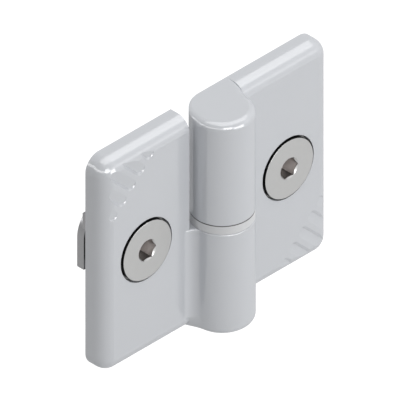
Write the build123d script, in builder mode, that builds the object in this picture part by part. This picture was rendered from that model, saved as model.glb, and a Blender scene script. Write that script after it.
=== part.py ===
"""Lift-off hinge for slotted frame profile: two cast leaves, each held by a screw and a slot nut.

Millimetres. The origin is on the frame leaf's mounting face, on its screw's axis. +X runs along the
leaves to the door leaf, +Y points away from the front, into the frame, and +Z points up the pin.
"""

from build123d import *
from math import acos, atan2, cos, hypot, radians, sin, sqrt, tan
import os

os.makedirs("parts", exist_ok=True)

# Leaves: both are the same casting, one turned over by half a turn about the Y axis. The front is
# skimmed off after the edges are rounded, which leaves a fine crease where a round meets the face
leaf_height = 59.6
leaf_reach = 37.1
leaf_thickness = 6.15
edge_round = 3.85
front_skim = 0.05
corner_radius = 4.2
screw_offset = 23.25

# Knuckles, and the gap that each leaf keeps to the other leaf's knuckle. The knuckles share the leaf's
# height with the ring that lies between them. The round on a knuckle's end narrows towards the back:
# it is shaped by a wider disc, set off the pin's axis by shares of that round
knuckle_diameter = 15.6
knuckle_top_round = 1.8
rim_shift_share = 0.86
rim_spare_share = 0.32
rim_shift_angle = 60.0
knuckle_seam_round = 0.4
knuckle_gap = 1.3
neck_radius = 3.0
neck_tip = 9.3
neck_spare = 3.0

# Grip flutes across the corner furthest from the knuckle. Each floor is tilted, so that it is deepest
# along one side and runs out to nothing along the other, and the walls lean outwards
flute_count = 5
flute_pitch = 4.22
flute_side_inset = 9.1
flute_end_inset = 8.85
flute_width = 2.4
flute_depth = 0.45
flute_wall_angle = 45.0

# Pin, its bush and the bearing ring
pin_diameter = 8.0
pin_seat_depth = 22.0
pin_engagement = 20.0
pin_chamfer = 0.8
pin_running_clearance = 0.03
bush_wall = 1.0
bush_length = 21.0
bush_inset = 0.2
bush_end_room = 1.0
ring_height = 2.4
ring_clearance = 0.08
ring_inset = 0.1
ring_round = 0.15

# Countersunk hex socket screws
thread_diameter = 8.0
screw_length = 16.0
head_diameter = 15.7
head_angle = 90.0
head_rim = 0.4
head_proud = 0.4
head_round = 0.1
head_clearance = 0.02
point_chamfer = 0.8
hole_clearance = 0.3
recess_diameter = 16.8
recess_depth = 1.0
hex_across_flats = 5.0
hex_depth = 4.0
hex_mouth_diameter = 5.8
hex_mouth_depth = 0.35
hex_floor_depth = 0.6

# Slot nuts
nut_width = 16.0
nut_length = 16.0
nut_corner_round = 7.8
nut_flange_thickness = 2.4
nut_flange_gap = 6.35
nut_neck_width = 9.8
nut_neck_gap = 2.3
nut_pad_height = 0.85
nut_pad_root = 0.4
nut_pad_length = 4.3
nut_chamfer = 0.2

# Worked out from the above
knuckle_radius = knuckle_diameter / 2
half_height = leaf_height / 2
seam_height = ring_height / 2
knuckle_height = half_height - seam_height
cut_offset = knuckle_radius + knuckle_gap
neck_back = knuckle_radius + neck_spare
pin_radius = pin_diameter / 2
thread_radius = thread_diameter / 2
head_radius = head_diameter / 2
head_slope = tan(radians(head_angle / 2))
bush_bore_radius = pin_radius + pin_running_clearance
bush_outer_radius = bush_bore_radius + bush_wall
bush_bore_depth = bush_inset + bush_length + bush_end_room

# Each leaf's own frame: x runs out from the pin, y to the back, z to the end that has the knuckle
pin_foot = (screw_offset, 0, 0)
frame_side = Plane(origin=pin_foot, x_dir=(-1, 0, 0), z_dir=(0, 0, -1))
door_side = Plane(origin=pin_foot, x_dir=(1, 0, 0), z_dir=(0, 0, 1))


def facing_front(side, depth=0.0, offset=0.0):
    """The plane that looks forward, depth in front of the mounting face and offset out from the pin."""
    origin = side.from_local_coords(Vector(offset, -depth, 0))
    return Plane(origin=origin, x_dir=side.x_dir, z_dir=-side.y_dir)


def across_pin(side, height):
    """The plane square to the pin, with its origin on the pin's axis."""
    origin = side.from_local_coords(Vector(0, -knuckle_radius, height))
    return Plane(origin=origin, x_dir=side.x_dir, z_dir=side.z_dir)


def hollow_neck(plane):
    """Outline from plate to knuckle with a hollow round between them."""
    front = knuckle_radius - leaf_thickness
    outer = sqrt((knuckle_radius + neck_radius) ** 2 - (neck_radius - front) ** 2)
    scale = knuckle_radius / (knuckle_radius + neck_radius)
    touch = (outer * scale, (front - neck_radius) * scale)
    with BuildSketch(plane) as outline:
        with BuildLine():
            Polyline(touch, (0, 0), (0, neck_back), (outer, neck_back), (outer, front))
            TangentArc((outer, front), touch, tangent=(-1, 0))
        make_face()
    return outline.sketch


def straight_neck(plane):
    """Outline from plate to knuckle at the end face: a straight side that is a tangent to the knuckle."""
    front = knuckle_radius - leaf_thickness - front_skim + edge_round
    angle = atan2(front, neck_tip) - acos(knuckle_radius / hypot(neck_tip, front))
    touch = (knuckle_radius * cos(angle), knuckle_radius * sin(angle))
    corners = [touch, (0, 0), (0, neck_back), (neck_tip, neck_back), (neck_tip, front)]
    with BuildSketch(plane) as outline:
        Polygon(*corners, align=None)
    return outline.sketch


def knuckle_rim(side):
    """The knuckle's outer half at its end, where the round narrows to nothing towards the neck's back."""
    with BuildPart() as rim:
        with BuildSketch(across_pin(side, half_height - 2 * knuckle_top_round)):
            with PolarLocations(rim_shift_share * knuckle_top_round, 1, start_angle=rim_shift_angle):
                Circle(knuckle_radius + rim_spare_share * knuckle_top_round)
        extrude(amount=2 * knuckle_top_round)
        end_face = faces().filter_by(Plane.XY).sort_by_distance(across_pin(side, half_height).origin)[0]
        fillet(end_face.edges(), knuckle_top_round)
        with BuildSketch(across_pin(side, half_height)):
            Circle(knuckle_radius)
            Rectangle(knuckle_radius, knuckle_diameter, align=(Align.MAX, Align.CENTER), mode=Mode.INTERSECT)
        extrude(amount=-2 * knuckle_top_round, mode=Mode.INTERSECT)
    return rim


def knuckle_column(side):
    """The knuckle and its neck. The neck is cut level with the mounting face after the ends are rounded."""
    shoulder = half_height - edge_round
    rim = knuckle_rim(side)
    with BuildPart() as column:
        with BuildSketch(across_pin(side, seam_height)):
            Circle(knuckle_radius)
        extrude(amount=knuckle_height)
        extrude(hollow_neck(across_pin(side, seam_height)), amount=shoulder - seam_height)
        shoulder_outline = hollow_neck(across_pin(side, shoulder))
        end_outline = straight_neck(across_pin(side, half_height))
        loft([shoulder_outline, end_outline], ruled=True)
        end_face = faces().filter_by(Plane.XY).sort_by_distance(across_pin(side, half_height).origin)[0]
        fillet(end_face.edges().filter_by(GeomType.CIRCLE), knuckle_top_round)
        add(rim.part)
        seam_face = faces().filter_by(Plane.XY).sort_by_distance(across_pin(side, seam_height).origin)[0]
        fillet(seam_face.edges().filter_by(GeomType.CIRCLE), knuckle_seam_round)
        split(bisect_by=facing_front(side), keep=Keep.TOP)
    return column


def flute_cutter(front, start):
    """What one flute takes away: round at the inner end, with leaning walls and a tilted floor."""
    centre = front.from_local_coords(start)
    along = front.from_local_coords(start + Vector(1, -1)) - centre
    up_from_floor = Vector(1, 1).normalized() * flute_depth + Vector(0, 0, flute_width)
    tilted = front.from_local_coords(start + up_from_floor) - centre
    floor = Plane(origin=centre, x_dir=along, z_dir=tilted)
    with BuildPart() as cutter:
        with BuildSketch(floor):
            Circle(flute_width / 2)
            Rectangle(2 * flute_side_inset, flute_width, align=(Align.MIN, Align.CENTER))
        extrude(amount=2 * flute_depth, taper=-flute_wall_angle)
    return cutter


def leaf_casting(side, bore_radius, bore_depth):
    """One leaf with its knuckle, drilled for what stands in the knuckle."""
    column = knuckle_column(side)
    front = facing_front(side, leaf_thickness)
    screw_front = facing_front(side, leaf_thickness, screw_offset)
    with BuildPart() as casting:
        # The plate: rounded on its three outer sides, square where it faces the other knuckle
        with BuildSketch(facing_front(side)):
            with Locations((cut_offset, 0)):
                Rectangle(leaf_reach - cut_offset, leaf_height, align=(Align.MIN, Align.CENTER))
            fillet(vertices().group_by(Axis.X)[-1], corner_radius)
        extrude(amount=leaf_thickness + front_skim)
        front_edges = faces().sort_by(Axis.Y)[0].edges()
        fillet(front_edges.sort_by_distance(facing_front(side, leaf_thickness + front_skim).origin)[1:], edge_round)
        split(bisect_by=front, keep=Keep.BOTTOM)

        # The knuckle with its neck, and the blind bore along the pin
        add(column.part)
        with BuildSketch(across_pin(side, seam_height)):
            Circle(bore_radius)
        extrude(amount=bore_depth, mode=Mode.SUBTRACT)

        # The screw's countersink, and the recess that its head lies in
        with Locations(screw_front):
            CounterSinkHole(
                radius=thread_radius + hole_clearance,
                counter_sink_radius=head_radius + head_rim * head_slope + head_clearance,
                depth=leaf_thickness,
                counter_sink_angle=head_angle,
            )
        with BuildSketch(screw_front):
            Circle(recess_diameter / 2)
        extrude(amount=-recess_depth, mode=Mode.SUBTRACT)

        # The flutes run out over the corner
        middle = Vector(leaf_reach - flute_side_inset, flute_end_inset - half_height, -flute_depth / 2)
        step = Vector(1, 1).normalized() * flute_pitch
        for count in range(flute_count):
            cutter = flute_cutter(front, middle + step * (count - (flute_count - 1) / 2))
            add(cutter.part, mode=Mode.SUBTRACT)
    return casting


def countersunk_screw(side):
    """A countersunk hex socket screw. Its head stands a little proud of the leaf's front."""
    front = facing_front(side, leaf_thickness + head_proud, screw_offset)
    socket_floor = facing_front(side, leaf_thickness + head_proud - hex_depth, screw_offset)
    with BuildPart() as screw:
        with BuildSketch(front):
            Circle(head_radius)
        extrude(amount=-head_proud - head_rim)
        fillet(edges().sort_by(Axis.Y)[0], head_round)
        with BuildSketch(facing_front(side, leaf_thickness - head_rim, screw_offset)):
            Circle(head_radius)
        extrude(amount=(thread_radius - head_radius) / head_slope, taper=head_angle / 2)
        with BuildSketch(front):
            Circle(thread_radius)
        extrude(amount=-screw_length)
        chamfer(edges().sort_by(Axis.Y)[-1], point_chamfer)
        with BuildSketch(front):
            RegularPolygon(hex_across_flats / 2, 6, major_radius=False)
        extrude(amount=-hex_depth, mode=Mode.SUBTRACT)
        with Locations(front):
            Cone(
                hex_across_flats / 2,
                hex_mouth_diameter / 2,
                hex_mouth_depth,
                align=(Align.CENTER, Align.CENTER, Align.MAX),
                mode=Mode.SUBTRACT,
            )
        with Locations(socket_floor):
            Cone(
                0,
                hex_across_flats / 2,
                hex_floor_depth,
                align=(Align.CENTER, Align.CENTER, Align.MAX),
                mode=Mode.SUBTRACT,
            )
    return screw


def turned_outline(width):
    """A slot nut's outline: two opposite corners are rounded, so that it can be turned into the slot."""
    with BuildSketch() as outline:
        Rectangle(nut_width, nut_length)
        fillet(vertices().filter_by(lambda corner: corner.X * corner.Y < 0), nut_corner_round)
        Rectangle(width, nut_length, mode=Mode.INTERSECT)
    return outline.sketch


def slot_nut(side):
    """A turn-in slot nut: a neck in the slot's mouth and a flange behind the slot's lips."""
    flange_front = facing_front(side, -nut_flange_gap, screw_offset)
    with BuildPart() as nut:
        # The flange and the neck
        with BuildSketch(flange_front):
            add(turned_outline(nut_width))
        extrude(amount=-nut_flange_thickness)
        chamfer(faces().sort_by(Axis.Y)[-1].edges(), nut_chamfer)
        with BuildSketch(flange_front):
            add(turned_outline(nut_neck_width))
        extrude(amount=nut_flange_gap - nut_neck_gap)

        # Raised pads stop the turn and bear on the back of the slot's lips
        pad_width = (nut_width - nut_neck_width) / 2
        with BuildSketch(facing_front(side, -nut_flange_gap - nut_pad_root, screw_offset)):
            for end in (1, -1):
                with Locations((end * (nut_width - pad_width) / 2, end * (nut_pad_length - nut_length) / 2)):
                    Rectangle(pad_width, nut_pad_length)
        extrude(amount=nut_pad_root + nut_pad_height)

        # The tapped hole
        with BuildSketch(flange_front):
            Circle(thread_radius)
        extrude(amount=nut_flange_gap, both=True, mode=Mode.SUBTRACT)
    return nut


frame_leaf = leaf_casting(frame_side, pin_radius, pin_seat_depth)
frame_leaf.part.label = "frame_leaf"
export_step(frame_leaf.part, "parts/frame_leaf.step")

door_leaf = leaf_casting(door_side, bush_outer_radius, bush_bore_depth)
door_leaf.part.label = "door_leaf"
export_step(door_leaf.part, "parts/door_leaf.step")

# The pin is pressed into the frame leaf's knuckle and stands up into the door leaf's
with BuildPart() as hinge_pin:
    with BuildSketch(across_pin(door_side, -seam_height - pin_seat_depth)):
        Circle(pin_radius)
    extrude(amount=pin_seat_depth + ring_height + pin_engagement)
    chamfer(edges().filter_by(GeomType.CIRCLE), pin_chamfer)
hinge_pin.part.label = "hinge_pin"
export_step(hinge_pin.part, "parts/hinge_pin.step")

# The plain bearing bush is pressed into the door leaf's knuckle
with BuildPart() as pin_bush:
    with BuildSketch(across_pin(door_side, seam_height + bush_inset)):
        Circle(bush_outer_radius)
        Circle(bush_bore_radius, mode=Mode.SUBTRACT)
    extrude(amount=bush_length)
pin_bush.part.label = "pin_bush"
export_step(pin_bush.part, "parts/pin_bush.step")

# The bearing ring lies on the frame leaf's knuckle and carries the door leaf's
with BuildPart() as bearing_ring:
    with BuildSketch(across_pin(door_side, -seam_height)):
        Circle(knuckle_radius - ring_inset)
        Circle(pin_radius + ring_clearance, mode=Mode.SUBTRACT)
    extrude(amount=ring_height)
    fillet(edges().filter_by(GeomType.CIRCLE).group_by(SortBy.RADIUS)[-1], ring_round)
bearing_ring.part.label = "bearing_ring"
export_step(bearing_ring.part, "parts/bearing_ring.step")

frame_screw = countersunk_screw(frame_side)
frame_screw.part.label = "frame_screw"
export_step(frame_screw.part, "parts/frame_screw.step")

door_screw = countersunk_screw(door_side)
door_screw.part.label = "door_screw"
export_step(door_screw.part, "parts/door_screw.step")

frame_slot_nut = slot_nut(frame_side)
frame_slot_nut.part.label = "frame_slot_nut"
export_step(frame_slot_nut.part, "parts/frame_slot_nut.step")

door_slot_nut = slot_nut(door_side)
door_slot_nut.part.label = "door_slot_nut"
export_step(door_slot_nut.part, "parts/door_slot_nut.step")
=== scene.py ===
import bpy
from math import cos, pi, radians, sin
from mathutils import Matrix, Vector


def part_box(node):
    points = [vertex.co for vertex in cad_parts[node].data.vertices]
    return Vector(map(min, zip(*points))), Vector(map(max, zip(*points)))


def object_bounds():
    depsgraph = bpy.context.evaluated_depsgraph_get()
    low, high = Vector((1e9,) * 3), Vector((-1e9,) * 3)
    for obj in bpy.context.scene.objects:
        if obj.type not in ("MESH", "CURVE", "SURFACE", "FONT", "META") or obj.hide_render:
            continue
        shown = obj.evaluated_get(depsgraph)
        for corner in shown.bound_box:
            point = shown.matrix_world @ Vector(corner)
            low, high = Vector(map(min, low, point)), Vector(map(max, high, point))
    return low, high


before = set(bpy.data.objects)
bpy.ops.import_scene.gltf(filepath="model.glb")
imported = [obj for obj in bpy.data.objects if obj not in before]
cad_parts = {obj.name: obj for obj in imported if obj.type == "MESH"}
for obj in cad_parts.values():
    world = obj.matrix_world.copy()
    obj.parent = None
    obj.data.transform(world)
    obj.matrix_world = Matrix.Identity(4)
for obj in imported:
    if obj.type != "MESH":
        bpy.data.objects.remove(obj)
cad_low, cad_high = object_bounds()

# The two leaves are one casting used twice, the second turned over by half a turn. They are taken to be
# zinc, sprayed with a light grey enamel that has levelled to a satin coat with a faint orange peel. Its
# gloss is made to fade where it is seen edge on, which matches the photograph.
millimetre = 0.001
enamel_colour = (0.545, 0.560, 0.588, 1.0)
enamel_shade = (0.530, 0.546, 0.574, 1.0)
enamel_roughness = 0.34
roughness_drift = 0.04
cloud_size = 14.0 * millimetre
peel_size = 0.9 * millimetre
peel_depth = 0.003 * millimetre
gloss_roughness = 0.13
gloss_index = 1.85
gloss_fade_power = 2.0


def new_finish(name, roughness, metallic=0.0):
    """A material with the one shader that every finish here starts from."""
    finish = bpy.data.materials.new(name)
    finish.use_nodes = True
    shader = finish.node_tree.nodes["Principled BSDF"]
    shader.inputs["Roughness"].default_value = roughness
    shader.inputs["Metallic"].default_value = metallic
    return finish, shader


def on_piece(finish):
    """The place of a point in metres, which stays with the piece when the piece moves."""
    return finish.node_tree.nodes.new("ShaderNodeTexCoord").outputs["Object"]


def grain(finish, size, detail=2.0, stretch=(1.0, 1.0, 1.0)):
    """Noise that is fixed to the piece, with features of the given size in metres."""
    nodes = finish.node_tree.nodes
    links = finish.node_tree.links
    mapping = nodes.new("ShaderNodeMapping")
    mapping.inputs["Scale"].default_value = stretch
    noise = nodes.new("ShaderNodeTexNoise")
    noise.inputs["Scale"].default_value = 1.0 / size
    noise.inputs["Detail"].default_value = detail
    links.new(on_piece(finish), mapping.inputs["Vector"])
    links.new(mapping.outputs["Vector"], noise.inputs["Vector"])
    return noise.outputs["Fac"]


def mix_colours(finish, shader, factor, first, second):
    """Base colour that drifts between two shades."""
    blend = finish.node_tree.nodes.new("ShaderNodeMix")
    blend.data_type = "RGBA"
    blend.inputs["A"].default_value = first
    blend.inputs["B"].default_value = second
    finish.node_tree.links.new(factor, blend.inputs["Factor"])
    finish.node_tree.links.new(blend.outputs["Result"], shader.inputs["Base Color"])
    return blend.outputs["Result"]


def spread_roughness(finish, shader, factor, low, high):
    """Roughness that drifts between two values."""
    spread = finish.node_tree.nodes.new("ShaderNodeMapRange")
    spread.inputs["To Min"].default_value = low
    spread.inputs["To Max"].default_value = high
    finish.node_tree.links.new(factor, spread.inputs["Value"])
    finish.node_tree.links.new(spread.outputs["Result"], shader.inputs["Roughness"])


def raise_bumps(finish, shader, height, depth):
    """Surface relief of the given depth in metres."""
    bump = finish.node_tree.nodes.new("ShaderNodeBump")
    bump.inputs["Strength"].default_value = 1.0
    bump.inputs["Distance"].default_value = depth
    finish.node_tree.links.new(height, bump.inputs["Height"])
    finish.node_tree.links.new(bump.outputs["Normal"], shader.inputs["Normal"])


def arithmetic(finish, operation, *values):
    """One step of arithmetic on numbers or sockets."""
    step = finish.node_tree.nodes.new("ShaderNodeMath")
    step.operation = operation
    for socket, value in zip(step.inputs, values):
        if isinstance(value, bpy.types.NodeSocket):
            finish.node_tree.links.new(value, socket)
        else:
            socket.default_value = value
    return step.outputs["Value"]


grey_enamel, enamel_shader = new_finish("grey_enamel", enamel_roughness)
clouds = grain(grey_enamel, cloud_size)
painted = mix_colours(grey_enamel, enamel_shader, clouds, enamel_colour, enamel_shade)
spread_roughness(
    grey_enamel,
    enamel_shader,
    grain(grey_enamel, cloud_size, detail=4.0),
    enamel_roughness - roughness_drift,
    enamel_roughness + roughness_drift,
)
raise_bumps(grey_enamel, enamel_shader, grain(grey_enamel, peel_size, detail=1.0), peel_depth)
enamel_shader.inputs["Specular IOR Level"].default_value = 0.0
enamel_shader.inputs["Coat Roughness"].default_value = gloss_roughness
enamel_shader.inputs["Coat IOR"].default_value = gloss_index
edge_on = grey_enamel.node_tree.nodes.new("ShaderNodeLayerWeight").outputs["Facing"]
edge_loss = arithmetic(grey_enamel, "POWER", edge_on, gloss_fade_power)
gloss = arithmetic(grey_enamel, "SUBTRACT", 1.0, edge_loss)
grey_enamel.node_tree.links.new(gloss, enamel_shader.inputs["Coat Weight"])

# Each leaf has a shallow recess round its screw's head. Its floor and the hole behind it carry painted
# shade, a near-black colour that stands for the shadow in the gap, to just short of the back face,
# which lies at zero. The recess's wall keeps its enamel. Whether the black is metal or only shadow
# isn't known.
recess_shade_colour = (0.02, 0.02, 0.021, 1.0)
recess_radius = 8.4 * millimetre
wall_margin = 0.03 * millimetre
back_margin = 0.2 * millimetre


def split(finish, place):
    """The X, Y and Z of a place or direction."""
    parts = finish.node_tree.nodes.new("ShaderNodeSeparateXYZ")
    finish.node_tree.links.new(place, parts.inputs["Vector"])
    return parts.outputs["X"], parts.outputs["Y"], parts.outputs["Z"]


def distance(finish, across, along):
    """How far a place is from an axis, from its two offsets at right angles to that axis."""
    along_squared = arithmetic(finish, "MULTIPLY", along, along)
    squared = arithmetic(finish, "MULTIPLY_ADD", across, across, along_squared)
    return arithmetic(finish, "SQRT", squared)


def lay_over(finish, shader, where, under, colour):
    """Lays a plain colour over part of a base colour."""
    layer = finish.node_tree.nodes.new("ShaderNodeMix")
    layer.data_type = "RGBA"
    layer.inputs["B"].default_value = colour
    finish.node_tree.links.new(where, layer.inputs["Factor"])
    finish.node_tree.links.new(under, layer.inputs["A"])
    finish.node_tree.links.new(layer.outputs["Result"], shader.inputs["Base Color"])
    return layer.outputs["Result"]


def coat(node, finish):
    """Gives a carried-over piece its finish."""
    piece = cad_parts[node]
    piece.data.materials.clear()
    piece.data.materials.append(finish)


pin_low, pin_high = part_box("hinge_pin")
pin_x = (pin_low.x + pin_high.x) / 2
leaf_x, leaf_y, leaf_z = split(grey_enamel, on_piece(grey_enamel))
# One screw is at zero and the other as far beyond the pin, so the two are folded onto each other.
from_pin = arithmetic(grey_enamel, "ABSOLUTE", arithmetic(grey_enamel, "SUBTRACT", leaf_x, pin_x))
from_screw = arithmetic(grey_enamel, "SUBTRACT", from_pin, pin_x)
from_screw_axis = distance(grey_enamel, from_screw, leaf_z)
in_recess = arithmetic(grey_enamel, "LESS_THAN", from_screw_axis, recess_radius - wall_margin)
short_of_back = arithmetic(grey_enamel, "LESS_THAN", leaf_y, -back_margin)
painted_shade_floor = arithmetic(grey_enamel, "MULTIPLY", in_recess, short_of_back)
# The recess's floor gets painted shade, a near-black colour for the shadow in the gap.
lay_over(grey_enamel, enamel_shader, painted_shade_floor, painted, recess_shade_colour)
coat("frame_leaf", grey_enamel)
coat("door_leaf", grey_enamel)

# The bearing ring between the knuckles is taken to be a moulded plastic washer, a neutral grey and
# duller than the enamel. A thin dark line along its top edge is painted shade from the upper knuckle.
plastic_colour = (0.640, 0.645, 0.655, 1.0)
plastic_shade = (0.610, 0.615, 0.625, 1.0)
plastic_roughness = 0.5
plastic_cloud_size = 3.0 * millimetre
mould_grain_size = 0.25 * millimetre
mould_grain_depth = 0.002 * millimetre
joint_shade_colour = (0.12, 0.12, 0.12, 1.0)
joint_shade_height = 0.15 * millimetre
joint_shade_width = 0.3 * millimetre


def moulded_plastic(name):
    """Dull grey plastic with the fine texture of its mould."""
    finish, shader = new_finish(name, plastic_roughness)
    clouds = grain(finish, plastic_cloud_size)
    colour = mix_colours(finish, shader, clouds, plastic_colour, plastic_shade)
    raise_bumps(finish, shader, grain(finish, mould_grain_size), mould_grain_depth)
    return finish, shader, colour


plastic_with_joint_shade, ring_shader, moulded = moulded_plastic("plastic_with_joint_shade")
ring_low, ring_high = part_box("bearing_ring")
ring_radius = (ring_high.x - ring_low.x) / 2
ring_middle_y = (ring_low.y + ring_high.y) / 2
ring_x, ring_y, ring_z = split(plastic_with_joint_shade, on_piece(plastic_with_joint_shade))
from_ring_axis = distance(
    plastic_with_joint_shade,
    arithmetic(plastic_with_joint_shade, "SUBTRACT", ring_x, pin_x),
    arithmetic(plastic_with_joint_shade, "SUBTRACT", ring_y, ring_middle_y),
)
at_joint = arithmetic(plastic_with_joint_shade, "GREATER_THAN", ring_z, ring_high.z - joint_shade_height)
at_rim = arithmetic(plastic_with_joint_shade, "GREATER_THAN", from_ring_axis, ring_radius - joint_shade_width)
painted_joint_shade = arithmetic(plastic_with_joint_shade, "MULTIPLY", at_joint, at_rim)
# The thin dark line along the ring's top edge is painted shade from the upper knuckle.
lay_over(plastic_with_joint_shade, ring_shader, painted_joint_shade, moulded, joint_shade_colour)
coat("bearing_ring", plastic_with_joint_shade)

# The bush is a plain bearing sleeve, pressed into the upper knuckle, and taken to be the same plastic
# as the ring. It hides in the knuckle until the door leaf is lifted.
bush_plastic = moulded_plastic("grey_plastic")[0]
coat("pin_bush", bush_plastic)

# The pin is a ground steel dowel, pressed into the lower knuckle, with fine marks round it from the
# grinding. It shows when the door leaf is lifted.
pin_colour = (0.56, 0.56, 0.56, 1.0)
pin_shade = (0.50, 0.50, 0.50, 1.0)
pin_roughness = 0.22
grind_size = 0.4 * millimetre
grind_stretch = (0.2, 0.2, 3.0)

pin_finish, pin_shader = new_finish("ground_steel", pin_roughness, metallic=1.0)
grind_marks = grain(pin_finish, grind_size, detail=3.0, stretch=grind_stretch)
mix_colours(pin_finish, pin_shader, grind_marks, pin_colour, pin_shade)
coat("hinge_pin", pin_finish)

# The countersunk screws are turned from steel. The face of the head is bright, with faint rings from
# the facing. The pressed socket is warmer in tone and painted lighter, as painted light in the hollow,
# and the screw's rear end takes the same colour. The side of the head and the socket's flat that faces
# up carry painted shade. The side of the head and the socket's flat that faces up are dark in the
# photograph. Why they are dark isn't known.
steel_colour = (0.420, 0.420, 0.417, 1.0)
steel_shade = (0.400, 0.400, 0.397, 1.0)
steel_roughness = 0.36
steel_cloud_size = 2.0 * millimetre
ring_pitch = 1.131 * millimetre
ring_depth = 0.001 * millimetre
rings_at_scale_one = 20 / (2 * pi)
socket_colour = (0.53, 0.505, 0.495, 1.0)
shaded_flat_colour = (0.20, 0.19, 0.185, 1.0)
head_side_shade_colour = (0.03, 0.03, 0.03, 1.0)
socket_radius = 3.0 * millimetre
mouth_depth = 0.34 * millimetre
face_radius = 7.7 * millimetre
face_edge = 0.03 * millimetre
mostly_upward = 0.75


def turned_steel(name, low, high):
    """Bright steel with turning marks round an axis along Y, for a screw that fills one box."""
    finish, shader = new_finish(name, steel_roughness, metallic=1.0)
    nodes = finish.node_tree.nodes
    links = finish.node_tree.links
    centred = nodes.new("ShaderNodeVectorMath")
    centred.operation = "SUBTRACT"
    centred.inputs[1].default_value = ((low.x + high.x) / 2, low.y, 0)
    links.new(on_piece(finish), centred.inputs[0])
    rings = nodes.new("ShaderNodeTexWave")
    rings.wave_type = "RINGS"
    rings.rings_direction = "Y"
    rings.inputs["Scale"].default_value = 1.0 / (rings_at_scale_one * ring_pitch)
    rings.inputs["Distortion"].default_value = 0.0
    links.new(centred.outputs["Vector"], rings.inputs["Vector"])
    clouds = grain(finish, steel_cloud_size, detail=3.0)
    turned = mix_colours(finish, shader, clouds, steel_colour, steel_shade)
    raise_bumps(finish, shader, rings.outputs["Fac"], ring_depth)

    across, inward, upward = split(finish, centred.outputs["Vector"])
    from_axis = distance(finish, across, upward)
    near_axis = arithmetic(finish, "LESS_THAN", from_axis, socket_radius)
    past_mouth = arithmetic(finish, "GREATER_THAN", inward, mouth_depth)
    in_socket = arithmetic(finish, "MULTIPLY", near_axis, past_mouth)
    past_face = arithmetic(finish, "GREATER_THAN", from_axis, face_radius)
    behind_edge = arithmetic(finish, "GREATER_THAN", inward, face_edge)
    on_shaded_side = arithmetic(finish, "MULTIPLY", past_face, behind_edge)
    # This is the direction in the room, so the shaded flat would change if the hinge were laid down.
    flat_direction = split(finish, nodes.new("ShaderNodeNewGeometry").outputs["True Normal"])
    facing_up = arithmetic(finish, "GREATER_THAN", flat_direction[2], mostly_upward)
    on_shaded_flat = arithmetic(finish, "MULTIPLY", in_socket, facing_up)
    # The socket's colour is lighter than the face: painted light in the hollow, over a warmer tone of
    # its own.
    coloured = lay_over(finish, shader, in_socket, turned, socket_colour)
    # The socket's flat that faces up gets painted shade.
    coloured = lay_over(finish, shader, on_shaded_flat, coloured, shaded_flat_colour)
    # The side of the head gets painted shade, a near-black colour for the shadow in the gap round it.
    lay_over(finish, shader, on_shaded_side, coloured, head_side_shade_colour)
    return finish


for side in ("frame", "door"):
    coat(f"{side}_screw", turned_steel(f"{side}_turned_steel", *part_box(f"{side}_screw")))

# The slot nuts are taken to be pressed steel with a zinc plating that has a fine, slightly cloudy
# grain. Each is held behind its leaf by the screw that runs into it.
zinc_colour = (0.245, 0.245, 0.25, 1.0)
zinc_shade = (0.205, 0.205, 0.21, 1.0)
zinc_roughness = 0.22
zinc_cloud_size = 1.5 * millimetre
zinc_grain_size = 0.3 * millimetre
zinc_grain_depth = 0.002 * millimetre

zinc_plate, zinc_shader = new_finish("zinc_plate", zinc_roughness, metallic=1.0)
zinc_clouds = grain(zinc_plate, zinc_cloud_size, detail=4.0)
mix_colours(zinc_plate, zinc_shader, zinc_clouds, zinc_colour, zinc_shade)
raise_bumps(zinc_plate, zinc_shader, grain(zinc_plate, zinc_grain_size), zinc_grain_depth)
coat("frame_slot_nut", zinc_plate)
coat("door_slot_nut", zinc_plate)

# The floor is a wide sheet of grey paper a little below the hinge. It glows only to the camera and in
# reflections, where it shows as white, and lights the hinge from below as plain paper does.
floor_drop = 30 * millimetre
floor_half_width = 3.0
paper_grey = (0.45, 0.45, 0.45, 1.0)
paper_roughness = 0.9
paper_glow = 0.66
white = (1.0, 1.0, 1.0, 1.0)

floor_mesh = bpy.data.meshes.new("floor")
floor_height = cad_low.z - floor_drop
floor_mesh.from_pydata(
    [
        (-floor_half_width, -floor_half_width, floor_height),
        (floor_half_width, -floor_half_width, floor_height),
        (floor_half_width, floor_half_width, floor_height),
        (-floor_half_width, floor_half_width, floor_height),
    ],
    [],
    [(0, 1, 2, 3)],
)
floor = bpy.data.objects.new("floor", floor_mesh)
bpy.context.scene.collection.objects.link(floor)
floor_paper, paper_shader = new_finish("floor_paper", paper_roughness)
paper_shader.inputs["Base Color"].default_value = paper_grey
paper_shader.inputs["Emission Color"].default_value = white


def seen_directly(finish):
    """One for rays that show the background to the eye: camera, glossy and transmission rays."""
    rays = finish.node_tree.nodes.new("ShaderNodeLightPath").outputs
    mirrored = arithmetic(finish, "MAXIMUM", rays["Is Glossy Ray"], rays["Is Transmission Ray"])
    return arithmetic(finish, "MAXIMUM", rays["Is Camera Ray"], mirrored)


seen_glow = arithmetic(floor_paper, "MULTIPLY", seen_directly(floor_paper), paper_glow)
floor_paper.node_tree.links.new(seen_glow, paper_shader.inputs["Emission Strength"])
floor_mesh.materials.append(floor_paper)

# The studio is an even white room that lights the hinge softly, and shows as plain white to the camera
# and in the gloss of the metal.
room_light = 0.48
room_as_seen = 1.0

world = bpy.data.worlds.new("studio")
bpy.context.scene.world = world
world.use_nodes = True
sky = world.node_tree.nodes["Background"]
strength = world.node_tree.nodes.new("ShaderNodeMapRange")
strength.inputs["To Min"].default_value = room_light
strength.inputs["To Max"].default_value = room_as_seen
sky.inputs["Color"].default_value = white
world.node_tree.links.new(seen_directly(world), strength.inputs["Value"])
world.node_tree.links.new(strength.outputs["Result"], sky.inputs["Strength"])

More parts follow.
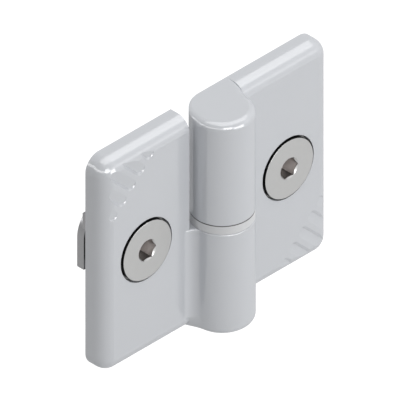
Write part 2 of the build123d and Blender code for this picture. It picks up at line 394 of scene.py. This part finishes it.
# Of the soft lamps, a wide one overhead gives the bright bands along the top rounds, and one in front,
# a little to the right, lights the faces. A low row of strips gives a second, thinner band, and a small
# lamp the glints in the flutes: these show only as reflections.
hinge_middle = (cad_low + cad_high) / 2
lamp_distance = 0.6
strip_width = 0.30
strip_height = 0.12
strip_rise = 0.37
strip_power_at_angle = {
    -52: 0.11,
    -79: 0.18,
    -106: 0.24,
    -135: 0.32,
    -164: 0.32,
    -193: 0.32,
    -222: 0.32,
}


def soft_lamp(name, direction, width, height, power, reflected_only=False):
    """A lamp that faces the hinge from the given direction, with its width lying level."""
    lamp = bpy.data.lights.new(name, "AREA")
    lamp.shape = "RECTANGLE"
    lamp.size = width
    lamp.size_y = height
    lamp.energy = power
    holder = bpy.data.objects.new(name, lamp)
    holder.location = hinge_middle + Vector(direction).normalized() * lamp_distance
    holder.rotation_euler = Vector(direction).to_track_quat("Z", "Y").to_euler()
    holder.visible_diffuse = not reflected_only
    bpy.context.scene.collection.objects.link(holder)


soft_lamp("overhead_lamp", direction=(0.17, 0.0, 1.0), width=0.54, height=0.80, power=2.45)
soft_lamp("front_lamp", direction=(0.18, -1.0, 0.0), width=0.36, height=0.36, power=2.35)
soft_lamp(
    "glint_lamp",
    direction=(-0.41, -0.82, 0.41),
    width=0.28,
    height=0.28,
    power=1.05,
    reflected_only=True,
)
for angle, power in strip_power_at_angle.items():
    strip_direction = (cos(radians(angle)), sin(radians(angle)), strip_rise)
    strip_name = f"strip_lamp_{-angle}"
    soft_lamp(strip_name, strip_direction, strip_width, strip_height, power, reflected_only=True)

# The camera looks down the photograph's isometric angle, with no perspective. The photograph has
# 4.312 pixels to a millimetre, and its middle lies a little left of the pin and above mid-height.
photo_width_px = 400
pixels_per_millimetre = 4.312
pin_x_px = 217.2
foot_y_px = 313.72
leaf_front = -6.15 * millimetre
camera_distance = 0.5
camera_reach = 10.0

to_right = Vector((1, -1, 0)).normalized()
to_top = Vector((1, 1, 2)).normalized()
to_camera = Vector((-1, -1, 1)).normalized()
leaf_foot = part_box("frame_leaf")[0].z
pin_foot = Vector((pin_x, leaf_front, leaf_foot))
aim_right = (photo_width_px / 2 - pin_x_px) / pixels_per_millimetre * millimetre
aim_up = (foot_y_px - photo_width_px / 2) / pixels_per_millimetre * millimetre
camera_place = pin_foot + to_right * aim_right + to_top * aim_up + to_camera * camera_distance
camera_turn = Matrix((to_right, to_top, to_camera)).transposed().to_4x4()
camera_data = bpy.data.cameras.new("camera")
camera_data.type = "ORTHO"
camera_data.ortho_scale = photo_width_px / pixels_per_millimetre * millimetre
camera_data.clip_end = camera_reach
camera = bpy.data.objects.new("camera", camera_data)
camera.matrix_world = Matrix.Translation(camera_place) @ camera_turn
bpy.context.scene.collection.objects.link(camera)
bpy.context.scene.camera = camera
bpy.context.scene.view_settings.view_transform = "Standard"
